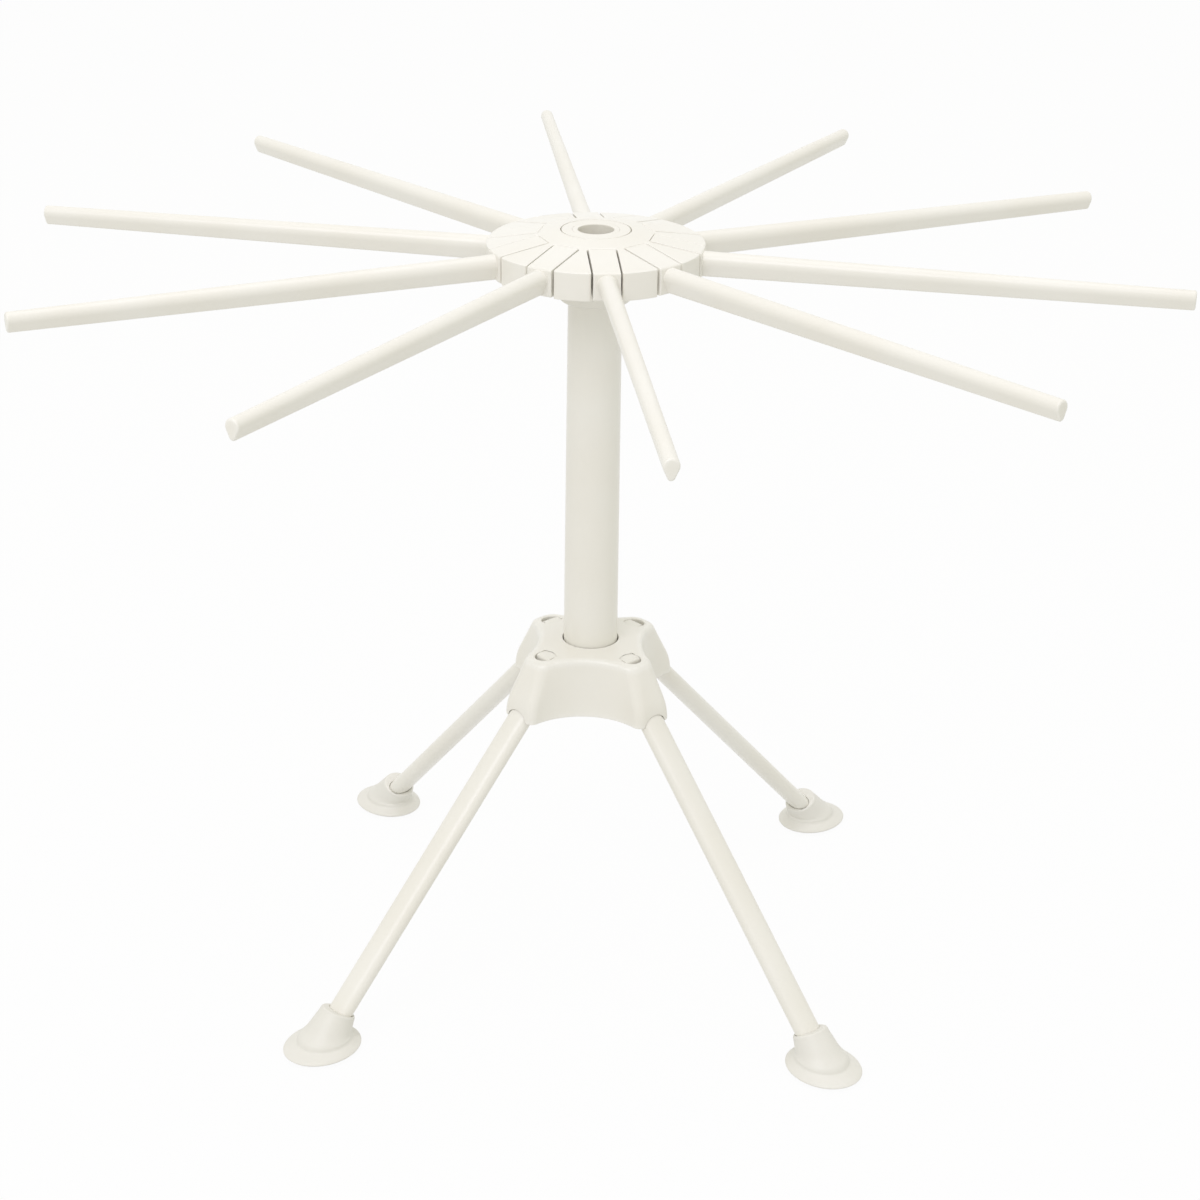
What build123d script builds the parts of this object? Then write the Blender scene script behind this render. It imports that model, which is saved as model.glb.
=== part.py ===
from build123d import *
from math import atan2, cos, degrees, hypot, radians, sin, sqrt, tan
import os

# A pasta drying rack of moulded ivory plastic, in millimetres.
# Ten arms fold down from a slotted hub, which turns on a round post.
# The post stands in a four-lobed collar, whose four legs fold in under it.
# The origin is on the ground under the post, and +Z is up.

# Heights and reaches of the whole rack
arm_tip_radius = 210.0
arm_tip_centre_z = 279.9
hub_bottom_z = 275.0
collar_bottom_z = 105.8
pad_centre_radius = 131.5

# Directions about +Z, in degrees
arm_count = 10
arm_first_azimuth = 27.0
arm_pitch_azimuth = 360.0 / arm_count
leg_places = ("back_right", "back_left", "front_left", "front_right")
leg_first_azimuth = 45.0
leg_pitch_azimuth = 360.0 / len(leg_places)

# Share of a length that lies along each of two axes when it points halfway between them
diagonal_share = sqrt(1 / 2)

# Clearances that pieces share
turn_clearance = 0.05
stop_gap = 0.1
seat_gap = 0.1
cut_overrun = 1.0

# Hub
hub_radius = 39.2
hub_rim_height = 10.0
hub_crown_height = 4.7
hub_edge_round = 0.7
slot_width = 10.8
slot_inner_radius = 20.2
hub_boss_radius = 13.0
hub_boss_drop = 11.0
ring_gap = 0.45

# Arm
arm_block_width = 9.6
arm_block_round = 0.8
arm_knuckle_radius = 5.3
arm_underside_gap = 0.2
arm_fold_angle = 80.0
arm_trunnion_radius = 1.5
arm_trunnion_length = 2.1
arm_root_width = 6.5
arm_root_height = 9.2
arm_root_lift = 0.15
arm_rod_overlap = 6.0
arm_tip_width = 5.1
arm_tip_height = 7.0
arm_tip_round = 0.5
rod_keel_share = 0.24

# Keeper plate, recessed under the hub
keeper_thickness = 2.2
keeper_radius = 36.0
keeper_slot_gap = 0.25
keeper_lug_gap = 0.2
keeper_screw_web_counts = (0, 2, 5, 7)
keeper_screw_place_radius = 31.5
keeper_screw_shank_radius = 1.25
keeper_screw_head_radius = 2.3
keeper_screw_length = 8.0
keeper_screw_clearance = 0.2

# Post and the ring that holds the hub on it
post_radius = 10.25
post_top_radius = 9.8
post_bore_radius = 7.0
post_journal_radius = 8.5
post_floor_thickness = 12.0
post_end_chamfer = 0.5
post_fit_gap = 0.05
ring_radius = 12.3
ring_thickness = 3.0
ring_chamfer = 0.4

# Collar
collar_height = 23.4
collar_top_fall = 1.4
collar_top_round = 0.9
collar_knee_height = 5.7
lobe_reach_top = 28.6
lobe_reach_knee = 36.8
lobe_reach_bottom = 37.0
lobe_end_width_top = 2.0
lobe_end_width_knee = 9.0
lobe_end_width_bottom = 10.0
lobe_round_top = 5.6
lobe_round_knee = 3.4
lobe_round_bottom = 3.2
saddle_reach_top = 19.7
saddle_reach_knee = 21.3
saddle_reach_bottom = 22.0
socket_floor_thickness = 4.2
socket_mouth_gap = 0.9
socket_mouth_depth = 4.0
window_radius = 4.1
window_offset = 2.5

# Leg
leg_pivot_radius = 20.2
leg_pivot_height = 16.1
leg_width = 10.2
leg_depth = 6.8
leg_face_bulge = 0.35
leg_knuckle_radius = 5.8
leg_knuckle_width = 6.4
leg_pocket_gap = 0.3
leg_trunnion_radius = 2.0
leg_trunnion_length = 1.7
leg_end_height = 5.72
leg_end_inset = 2.58

# Foot
pad_radial = 15.2
pad_tangential = 13.0
pad_thickness = 1.6
pad_round = 0.6
pad_undercut = 0.45
boot_base_inset = 1.3
boot_base_radial = 12.0
boot_base_tangential = 7.8
boot_waist_height = 5.6
boot_waist_inset = 3.8
boot_waist_radial = 9.3
boot_waist_tangential = 7.0
boot_waist_slope_angle = 12.0
boot_rim_height = 12.6
boot_rim_inset = 7.9
boot_rim_radial = 6.5
boot_rim_tangential = 6.7
boot_rim_slope_angle = 28.0
boot_fit_gap = 0.3

# Screw that holds the post in the collar
post_screw_shank_radius = 2.0
post_screw_length = 12.0
post_screw_head_radius = 4.0
post_screw_head_height = 2.4
post_screw_recess_gap = 0.5
post_screw_recess_depth = 2.6
screw_cross_length_share = 1.2
screw_cross_width_share = 0.3
screw_cross_depth_share = 0.35

# Places that follow from the sizes above
hub_rim_top_z = hub_bottom_z + hub_rim_height
hub_top_z = hub_rim_top_z + hub_crown_height
hub_bore_radius = post_journal_radius + turn_clearance
hub_boss_bottom_z = hub_bottom_z - hub_boss_drop
keeper_top_z = hub_bottom_z + keeper_thickness
ring_recess_radius = ring_radius + ring_gap
ring_bottom_z = hub_top_z - ring_thickness
arm_pivot_z = hub_bottom_z + arm_underside_gap + arm_knuckle_radius
arm_pivot_radius = slot_inner_radius + stop_gap + arm_knuckle_radius
arm_underside_z = arm_pivot_z - arm_knuckle_radius
arm_trunnion_reach = arm_block_width / 2 + arm_trunnion_length
arm_groove_radius = arm_trunnion_radius + turn_clearance
arm_groove_reach = arm_trunnion_reach + seat_gap
collar_top_z = collar_bottom_z + collar_height
post_bottom_z = collar_bottom_z + socket_floor_thickness
leg_pivot_z = collar_bottom_z + leg_pivot_height
leg_reach = pad_centre_radius - leg_end_inset - leg_pivot_radius
leg_drop = leg_pivot_z - leg_end_height
leg_length = hypot(leg_reach, leg_drop)
leg_tilt = atan2(leg_reach, leg_drop)
leg_splay_angle = degrees(leg_tilt)
leg_trunnion_reach = leg_width / 2 + leg_trunnion_length

# The keeper's upper edge stops a folding arm: the arm's flat underside lands on it at the end of the fold
arm_fold = radians(arm_fold_angle)
stop_edge_inset = (arm_knuckle_radius - (arm_pivot_z - keeper_top_z) * cos(arm_fold)) / sin(arm_fold)
keeper_stop_radius = arm_pivot_radius - stop_edge_inset - stop_gap


def arm_azimuth(number):
    return arm_first_azimuth + number * arm_pitch_azimuth


def leg_azimuth(number):
    return leg_first_azimuth + number * leg_pitch_azimuth


def around(shape, azimuth):
    """A shape that is drawn along +X, turned to its direction about the post."""
    return Rot(0, 0, azimuth) * shape


def dome_z(radius):
    """Height of the hub's conical top at a distance from the post's axis."""
    return hub_rim_top_z + hub_crown_height * (hub_radius - radius) / (hub_radius - ring_recess_radius)


def turned(points):
    """A solid turned about Z from its outline in (radius, height)."""
    return revolve(make_face(Polyline(*[(r, 0, z) for r, z in points], close=True)), Axis.Z)


def bar_across(radius, length, x, z):
    """A round bar along Y, centred on the XZ plane."""
    return Pos(x, 0, z) * Rot(90, 0, 0) * Cylinder(radius, length)


def groove_from_below(radius, reach, x, z, floor_z):
    """Two bearings for a pair of trunnions, each open downwards so that the piece can be pushed in."""
    way_in = Pos(x, 0, (z + floor_z) / 2) * Box(2 * radius, 2 * reach, z - floor_z)
    return bar_across(radius, 2 * reach, x, z) + way_in


def slot_box(inner_radius, width, bottom_z, top_z):
    """The space of one radial slot, from its flat inner end out past the rim."""
    length = hub_radius + cut_overrun - inner_radius
    return Pos(inner_radius + length / 2, 0, (bottom_z + top_z) / 2) * Box(length, width, top_z - bottom_z)


def screw_places():
    """Directions of the webs between two arms that carry a screw, counted on from the first arm."""
    return [arm_first_azimuth + (web + 0.5) * arm_pitch_azimuth for web in keeper_screw_web_counts]


def cross_recess(radius, bottom_z):
    """The driver's cross in a screw head that faces down."""
    depth = radius * screw_cross_depth_share
    bar = Box(radius * screw_cross_length_share, radius * screw_cross_width_share, 2 * depth)
    return Pos(0, 0, bottom_z) * (bar + Rot(0, 0, 90) * bar)


def make_hub():
    """Slotted disc with a conical top, a bearing boss below and a recess for the keeper."""
    disc = turned([
        (hub_bore_radius, hub_boss_bottom_z),
        (hub_boss_radius, hub_boss_bottom_z),
        (hub_boss_radius, keeper_top_z),
        (keeper_radius + seat_gap, keeper_top_z),
        (keeper_radius + seat_gap, hub_bottom_z),
        (hub_radius, hub_bottom_z),
        (hub_radius, hub_rim_top_z),
        (ring_recess_radius, hub_top_z),
        (ring_recess_radius, ring_bottom_z - seat_gap),
        (hub_bore_radius, ring_bottom_z - seat_gap),
    ])
    rim = [e for e in disc.edges().filter_by(GeomType.CIRCLE) if abs(e.radius - hub_radius) < stop_gap]
    disc = fillet(rim, hub_edge_round)
    slot = slot_box(slot_inner_radius, slot_width, hub_bottom_z - cut_overrun, hub_top_z + cut_overrun)
    groove = groove_from_below(
        arm_groove_radius, arm_groove_reach, arm_pivot_radius, arm_pivot_z, hub_bottom_z)
    pilot_depth = keeper_screw_length + seat_gap
    pilot = Pos(keeper_screw_place_radius, 0, hub_bottom_z + pilot_depth / 2) * Cylinder(
        keeper_screw_shank_radius, pilot_depth)
    cuts = [around(slot + groove, arm_azimuth(n)) for n in range(arm_count)]
    cuts += [around(pilot, azimuth) for azimuth in screw_places()]
    return disc - cuts


def make_keeper():
    """Plate with a finger under each web, whose lugs close the arms' bearings from below."""
    plate = turned([
        (hub_boss_radius + seat_gap, hub_bottom_z),
        (keeper_radius, hub_bottom_z),
        (keeper_radius, keeper_top_z),
        (hub_boss_radius + seat_gap, keeper_top_z),
    ])
    plate_slot_width = slot_width + 2 * keeper_slot_gap
    slot = slot_box(
        keeper_stop_radius, plate_slot_width, hub_bottom_z - cut_overrun, keeper_top_z + cut_overrun)
    lug_top_z = arm_pivot_z - arm_groove_radius
    lug_length = arm_trunnion_reach - plate_slot_width / 2
    lug = Pos(arm_pivot_radius, arm_trunnion_reach - lug_length / 2, (hub_bottom_z + lug_top_z) / 2) * Box(
        2 * (arm_groove_radius - keeper_lug_gap), lug_length, lug_top_z - hub_bottom_z)
    sink_height = keeper_screw_head_radius - keeper_screw_shank_radius
    sink = Pos(0, 0, hub_bottom_z + sink_height / 2) * Cone(
        keeper_screw_head_radius, keeper_screw_shank_radius, sink_height)
    hole = Pos(0, 0, (hub_bottom_z + keeper_top_z) / 2) * Cylinder(
        keeper_screw_shank_radius + keeper_screw_clearance, keeper_thickness)
    screw_hole = Pos(keeper_screw_place_radius, 0, 0) * (sink + hole)
    cuts = [around(slot, arm_azimuth(n)) for n in range(arm_count)]
    cuts += [around(screw_hole, azimuth) for azimuth in screw_places()]
    lugs = [around(lug, arm_azimuth(n)) for n in range(arm_count)]
    lugs += [around(mirror(lug, Plane.XZ), arm_azimuth(n)) for n in range(arm_count)]
    return plate - cuts + lugs


def make_keeper_screws():
    """Countersunk screws, their heads flush with the underside of the keeper."""
    sink_z = hub_bottom_z + keeper_screw_head_radius - keeper_screw_shank_radius
    tip_z = hub_bottom_z + keeper_screw_length
    screw = turned([
        (0, hub_bottom_z),
        (keeper_screw_head_radius, hub_bottom_z),
        (keeper_screw_shank_radius, sink_z),
        (keeper_screw_shank_radius, tip_z),
        (0, tip_z),
    ])
    screw -= cross_recess(keeper_screw_head_radius, hub_bottom_z)
    placed = Pos(keeper_screw_place_radius, 0, 0) * screw
    return Compound(children=[around(placed, azimuth) for azimuth in screw_places()])


def rod_face(x, width, height, centre_z):
    """Section of an arm's rod: wide round crown on top, narrow round keel below, straight flanks."""
    crown = width / 2
    keel = width * rod_keel_share
    crown_y = height / 2 - crown
    keel_y = keel - height / 2
    slope = (crown - keel) / (crown_y - keel_y)
    side = sqrt(1 - slope ** 2)
    right_top = (crown * side, crown_y - crown * slope)
    right_bottom = (keel * side, keel_y - keel * slope)
    left_top = (-right_top[0], right_top[1])
    left_bottom = (-right_bottom[0], right_bottom[1])
    bow = crown * diagonal_share
    outline = (
        ThreePointArc(right_top, (bow, crown_y + bow), (0, height / 2))
        + ThreePointArc((0, height / 2), (-bow, crown_y + bow), left_top)
        + Line(left_top, left_bottom)
        + ThreePointArc(left_bottom, (0, -height / 2), right_bottom)
        + Line(right_bottom, right_top))
    return Plane(origin=(x, 0, centre_z), x_dir=(0, 1, 0), z_dir=(1, 0, 0)) * make_face(outline)


def make_arm():
    """Arm along +X: knuckled root block with two trunnions, and a tapering rod."""
    heel_x = arm_pivot_radius - arm_knuckle_radius
    face_x = hub_radius - stop_gap
    bow = arm_knuckle_radius * diagonal_share
    knuckle_mid = (arm_pivot_radius - bow, arm_pivot_z - bow)
    outline = Polyline(
        (heel_x, arm_pivot_z), (heel_x, dome_z(heel_x)), (face_x, dome_z(face_x)),
        (face_x, arm_underside_z), (arm_pivot_radius, arm_underside_z)
    ) + ThreePointArc((arm_pivot_radius, arm_underside_z), knuckle_mid, (heel_x, arm_pivot_z))
    block = extrude(Plane.XZ * make_face(outline), arm_block_width / 2, both=True)
    end_face = block.faces().sort_by(Axis.X)[-1]
    block = fillet(end_face.edges(), arm_block_round)
    root_z = arm_underside_z + arm_root_lift + arm_root_height / 2
    rod = loft([
        rod_face(hub_radius - arm_rod_overlap, arm_root_width, arm_root_height, root_z),
        rod_face(arm_tip_radius, arm_tip_width, arm_tip_height, arm_tip_centre_z),
    ], ruled=True)
    tip_face = rod.faces().sort_by(Axis.X)[-1]
    rod = fillet(tip_face.edges(), arm_tip_round)
    trunnions = bar_across(arm_trunnion_radius, 2 * arm_trunnion_reach, arm_pivot_radius, arm_pivot_z)
    return block + rod + trunnions


def make_post():
    """Tube that narrows upwards, with a solid foot for the screw and a thinner journal for the hub."""
    tube = turned([
        (0, post_bottom_z),
        (post_radius - post_end_chamfer, post_bottom_z),
        (post_radius, post_bottom_z + post_end_chamfer),
        (post_radius, collar_top_z),
        (post_top_radius, hub_boss_bottom_z),
        (post_journal_radius, hub_boss_bottom_z),
        (post_journal_radius, hub_top_z),
        (post_bore_radius, hub_top_z),
        (post_bore_radius, post_bottom_z + post_floor_thickness),
        (0, post_bottom_z + post_floor_thickness),
    ])
    pilot_top_z = post_screw_seat_z() + post_screw_length + seat_gap
    pilot = Pos(0, 0, (post_bottom_z + pilot_top_z) / 2) * Cylinder(
        post_screw_shank_radius, pilot_top_z - post_bottom_z)
    return tube - pilot


def make_ring():
    """Retaining ring on the post's end, which keeps the hub from lifting off."""
    inner_radius = post_journal_radius + post_fit_gap
    return turned([
        (inner_radius, ring_bottom_z),
        (ring_radius, ring_bottom_z),
        (ring_radius, hub_top_z - ring_chamfer),
        (ring_radius - ring_chamfer, hub_top_z),
        (inner_radius, hub_top_z),
    ])


def post_screw_seat_z():
    """Height at which the screw's head bears up against the collar."""
    return collar_bottom_z + post_screw_recess_depth


def make_post_screw():
    """Pan-headed screw from below, through the collar's floor into the post."""
    seat_z = post_screw_seat_z()
    head_z = seat_z - post_screw_head_height
    screw = turned([
        (0, head_z),
        (post_screw_head_radius, head_z),
        (post_screw_head_radius, seat_z),
        (post_screw_shank_radius, seat_z),
        (post_screw_shank_radius, seat_z + post_screw_length),
        (0, seat_z + post_screw_length),
    ])
    return screw - cross_recess(post_screw_head_radius, head_z)


def lobed_face(z, lobe_reach, end_width, lobe_round, saddle_reach):
    """Four blunt lobes on the legs' directions, joined by hollow saddles that are tangent to them."""
    corner_x = (lobe_reach - lobe_round + end_width / 2) * diagonal_share
    corner_y = (lobe_reach - lobe_round - end_width / 2) * diagonal_share
    run = saddle_reach - corner_x
    saddle_radius = (run ** 2 + corner_y ** 2 - lobe_round ** 2) / (2 * (lobe_round - run))
    saddle_centre = saddle_reach + saddle_radius
    share = lobe_round / (lobe_round + saddle_radius)
    tangent_x = corner_x + (saddle_centre - corner_x) * share
    tangent_y = corner_y - corner_y * share
    end_x = corner_x + lobe_round * diagonal_share
    end_y = corner_y + lobe_round * diagonal_share
    turn = (atan2(tangent_y - corner_y, tangent_x - corner_x) + atan2(end_y - corner_y, end_x - corner_x)) / 2
    mid_x = corner_x + lobe_round * cos(turn)
    mid_y = corner_y + lobe_round * sin(turn)
    quarter = (
        ThreePointArc((tangent_x, -tangent_y), (saddle_reach, 0), (tangent_x, tangent_y))
        + ThreePointArc((tangent_x, tangent_y), (mid_x, mid_y), (end_x, end_y))
        + Line((end_x, end_y), (end_y, end_x))
        + ThreePointArc((end_y, end_x), (mid_y, mid_x), (tangent_y, tangent_x)))
    outline = quarter
    for number in range(1, len(leg_places)):
        outline += Rot(0, 0, number * leg_pitch_azimuth) * quarter
    return Pos(0, 0, z) * make_face(outline)


def make_leg_pocket():
    """Room for one leg in its lobe, drawn along +X: knuckle, swing, bearings and the window above."""
    half_depth = leg_depth / 2 + leg_pocket_gap
    width = leg_width + 2 * leg_pocket_gap
    floor_z = collar_bottom_z - cut_overrun
    swing = Polyline(
        (leg_pivot_radius, leg_pivot_z),
        (leg_pivot_radius - half_depth, leg_pivot_z),
        (leg_pivot_radius - half_depth, floor_z),
        (leg_pivot_radius + (leg_pivot_z - floor_z) * tan(leg_tilt), floor_z),
        close=True)
    room = extrude(Plane.XZ * make_face(swing), width / 2, both=True)
    room += bar_across(half_depth, width, leg_pivot_radius, leg_pivot_z)
    room += splayed(leg_bar(leg_pocket_gap))
    knuckle_radius = leg_knuckle_radius + leg_pocket_gap
    knuckle_reach = leg_knuckle_width / 2 + leg_pocket_gap
    room += groove_from_below(knuckle_radius, knuckle_reach, leg_pivot_radius, leg_pivot_z, floor_z)
    groove_radius = leg_trunnion_radius + turn_clearance
    groove_reach = leg_trunnion_reach + seat_gap
    room += groove_from_below(groove_radius, groove_reach, leg_pivot_radius, leg_pivot_z, floor_z)
    window_height = collar_top_z + cut_overrun - leg_pivot_z
    window = Pos(leg_pivot_radius + window_offset, 0, leg_pivot_z + window_height / 2) * Cylinder(
        window_radius, window_height)
    return room + window


def make_collar():
    """Four-lobed block: socket for the post on top, a pocket for a leg in each lobe."""
    body = loft([
        lobed_face(
            collar_bottom_z, lobe_reach_bottom, lobe_end_width_bottom, lobe_round_bottom,
            saddle_reach_bottom),
        lobed_face(
            collar_bottom_z + collar_knee_height, lobe_reach_knee, lobe_end_width_knee, lobe_round_knee,
            saddle_reach_knee),
        lobed_face(collar_top_z, lobe_reach_top, lobe_end_width_top, lobe_round_top, saddle_reach_top),
    ], ruled=True)
    mouth_radius = post_radius + socket_mouth_gap
    fall = collar_top_fall / (lobe_reach_top - mouth_radius)
    outer_radius = lobe_reach_bottom + lobe_end_width_bottom
    body &= turned([
        (0, collar_bottom_z),
        (outer_radius, collar_bottom_z),
        (outer_radius, collar_top_z - fall * (outer_radius - mouth_radius)),
        (mouth_radius, collar_top_z),
        (0, collar_top_z),
    ])
    brink = [e for e in body.edges() if e.bounding_box().min.Z > collar_top_z - 2 * collar_top_fall]
    body = fillet(brink, collar_top_round)
    mouth_z = collar_top_z - socket_mouth_depth
    socket = turned([
        (0, post_bottom_z),
        (post_radius + post_fit_gap, post_bottom_z),
        (post_radius + post_fit_gap, mouth_z),
        (mouth_radius, mouth_z),
        (mouth_radius, collar_top_z + cut_overrun),
        (0, collar_top_z + cut_overrun),
    ])
    seat_z = post_screw_seat_z()
    screw_way = turned([
        (0, collar_bottom_z - cut_overrun),
        (post_screw_head_radius + post_screw_recess_gap, collar_bottom_z - cut_overrun),
        (post_screw_head_radius + post_screw_recess_gap, seat_z),
        (post_screw_shank_radius + seat_gap, seat_z),
        (post_screw_shank_radius + seat_gap, post_bottom_z),
        (0, post_bottom_z),
    ])
    pocket = make_leg_pocket()
    pockets = [around(pocket, leg_azimuth(n)) for n in range(len(leg_places))]
    return body - [socket, screw_way, *pockets]


def leg_face(growth):
    """Section of a leg: a flat oval with bulging faces and round sides."""
    half_width = leg_width / 2 + growth
    half_depth = leg_depth / 2 + growth
    side_x = half_width - half_depth
    shoulder_y = half_depth - leg_face_bulge
    outline = (
        ThreePointArc((side_x, shoulder_y), (half_width, 0), (side_x, -shoulder_y))
        + ThreePointArc((side_x, -shoulder_y), (0, -half_depth), (-side_x, -shoulder_y))
        + ThreePointArc((-side_x, -shoulder_y), (-half_width, 0), (-side_x, shoulder_y))
        + ThreePointArc((-side_x, shoulder_y), (0, half_depth), (side_x, shoulder_y)))
    return make_face(outline)


def leg_bar(growth):
    """The leg's straight length, hanging from the pivot along -Z, its wide side across the radius."""
    return extrude(Rot(0, 0, 90) * leg_face(growth), -leg_length)


def splayed(shape):
    """A shape that hangs under the pivot, swung out to where the rack stands on it."""
    return Pos(leg_pivot_radius, 0, leg_pivot_z) * Rot(0, -leg_splay_angle, 0) * shape


def make_leg():
    """Leg along +X: narrow round knuckle, shoulders with two trunnions, and an oval bar to the foot."""
    knuckle = bar_across(leg_knuckle_radius, leg_knuckle_width, 0, 0)
    shoulders = bar_across(leg_depth / 2, leg_width, 0, 0)
    trunnions = bar_across(leg_trunnion_radius, 2 * leg_trunnion_reach, 0, 0)
    return splayed(leg_bar(0) + knuckle + shoulders + trunnions)


def boot_section(inset, height, slope_angle, radial, tangential):
    """One oval section of the boot, drawn along +X: its plane rises outwards by the slope."""
    return Pos(pad_centre_radius - inset, 0, height) * Rot(0, -slope_angle, 0) * Ellipse(radial, tangential)


def make_foot():
    """Push-on foot: a thin oval pad with a leaning boot that takes the leg's end."""
    pad = Pos(pad_centre_radius, 0, 0) * extrude(Ellipse(pad_radial, pad_tangential), pad_thickness)
    pad = fillet(pad.faces().sort_by(Axis.Z)[-1].edges(), pad_round)
    pad = chamfer(pad.faces().sort_by(Axis.Z)[0].edges(), pad_undercut)
    boot = loft([
        boot_section(boot_base_inset, pad_thickness / 2, 0, boot_base_radial, boot_base_tangential),
        boot_section(
            boot_waist_inset, boot_waist_height, boot_waist_slope_angle,
            boot_waist_radial, boot_waist_tangential),
        boot_section(
            boot_rim_inset, boot_rim_height, boot_rim_slope_angle,
            boot_rim_radial, boot_rim_tangential),
    ])
    return pad + boot - splayed(leg_bar(boot_fit_gap))


def write(name, shape):
    """One file for each sub-part."""
    shape.label = name
    export_step(shape, os.path.join("parts", name + ".step"))


os.makedirs("parts", exist_ok=True)
write("hub", make_hub())
write("keeper_plate", make_keeper())
write("keeper_screws", make_keeper_screws())
write("post", make_post())
write("retaining_ring", make_ring())
write("collar", make_collar())
write("post_screw", make_post_screw())
arm = make_arm()
for number in range(arm_count):
    write(f"arm_{number + 1:02d}", around(arm, arm_azimuth(number)))
leg = make_leg()
foot = make_foot()
for number, place in enumerate(leg_places):
    write(f"leg_{place}", around(leg, leg_azimuth(number)))
    write(f"foot_{place}", around(foot, leg_azimuth(number)))
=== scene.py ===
from math import asin, atan2, cos, degrees, pi, radians, sin, sqrt, tan

import bmesh
import bpy
import numpy as np
from mathutils import Matrix, Vector


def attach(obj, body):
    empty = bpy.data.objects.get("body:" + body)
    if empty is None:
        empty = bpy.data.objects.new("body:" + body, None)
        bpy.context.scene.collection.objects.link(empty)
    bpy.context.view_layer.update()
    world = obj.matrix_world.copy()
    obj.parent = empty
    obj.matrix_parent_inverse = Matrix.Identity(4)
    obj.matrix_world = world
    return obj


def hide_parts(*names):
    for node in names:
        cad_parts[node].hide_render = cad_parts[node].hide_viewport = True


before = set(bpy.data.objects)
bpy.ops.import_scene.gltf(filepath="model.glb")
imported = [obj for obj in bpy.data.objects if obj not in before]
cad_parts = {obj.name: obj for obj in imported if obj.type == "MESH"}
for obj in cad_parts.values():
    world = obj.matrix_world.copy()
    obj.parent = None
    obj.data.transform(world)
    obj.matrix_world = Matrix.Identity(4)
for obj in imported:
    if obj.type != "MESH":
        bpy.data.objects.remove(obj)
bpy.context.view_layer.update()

# COLLAR
# The block that carries the legs: four lobes, hollow saddles between them, a socket for the post.
# Injection moulded in one shot, so every outer edge has a small radius and the skin is glossy.
MM = 0.001
weld, sliver = 0.002, 0.001              # points this near become one, and edges this short go
leg_places = (("back_right", 45), ("back_left", 135), ("front_left", 225), ("front_right", 315))
collar_bottom, collar_height, knee_height = 105.8, 23.4, 5.7
collar_top, knee_level = collar_bottom + collar_height, knee_height / collar_height
lobe_reach = [37.0, 36.8, 28.6]          # at the bottom, at the knee of the lobes' ends and at the top
lobe_end = [10.0, 9.0, 2.0]
lobe_round = [3.2, 3.4, 5.6]
saddle_reach = [22.0, 21.3, 19.7]
top_fall = 1.4
mouth_radius, mouth_depth, socket_radius, socket_floor = 10.75, 4.0, 10.3, 110.0
screw_hole, screw_seat_room, screw_seat = 2.1, 4.5, 108.4    # the post screw's hole, its head's recess and where that ends
brink_run, knee_run, lip_run, edge_run = 1.6, 3.6, 0.2, 0.4    # how far each rounded edge reaches
brink_inset = brink_run * 0.9
leg_pivot = np.array([20.2, 121.9])      # radius and height of the leg's bearing
leg_tilt = radians(43.1)
leg_width, leg_depth = 10.2, 6.8
pocket_width, leg_half_room, leg_room_growth = 10.8, 3.7, 0.3
swing_stop, swing_spare = 80, 0.9        # degrees from the leg's outer side to the arc's end, and the foot's extra width
way_spare, below = 9, 2                  # how far the leg's tunnel and the pockets run on past the collar
knuckle_room, knuckle_half_room, bearing_room, bearing_half_room = 6.55, 3.6, 2.05, 6.9
window_radius, window_offset, window_flare, window_wider, window_above = 3.8, 2.8, 0.4, 0.7, 1.6
lug_height, lug_outside, lug_inside, lug_clearance = 6.35, 4.4, 1.6, 0.15   # from the bearing's axis


def linear(code):
    """sRGB hex to linear red, green, blue, alpha: each channel to the power 2.4 after its offset, or divided by 12.92
    near black."""
    c = np.array([int(code[i:i + 2], 16) for i in (1, 3, 5)]) / 255
    return (*np.where(c <= 0.04045, c / 12.92, ((c + 0.055) / 1.055) ** 2.4), 1.0)


def node(tree, kind, inputs=None, **settings):
    """Adds one node, gives it its settings, and fills or links its inputs."""
    made = tree.nodes.new(kind)
    for name, value in settings.items():
        setattr(made, name, value)
    for name, value in (inputs or {}).items():
        if isinstance(value, bpy.types.NodeSocket):
            tree.links.new(value, made.inputs[name])
        else:
            made.inputs[name].default_value = value
    return made


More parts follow.
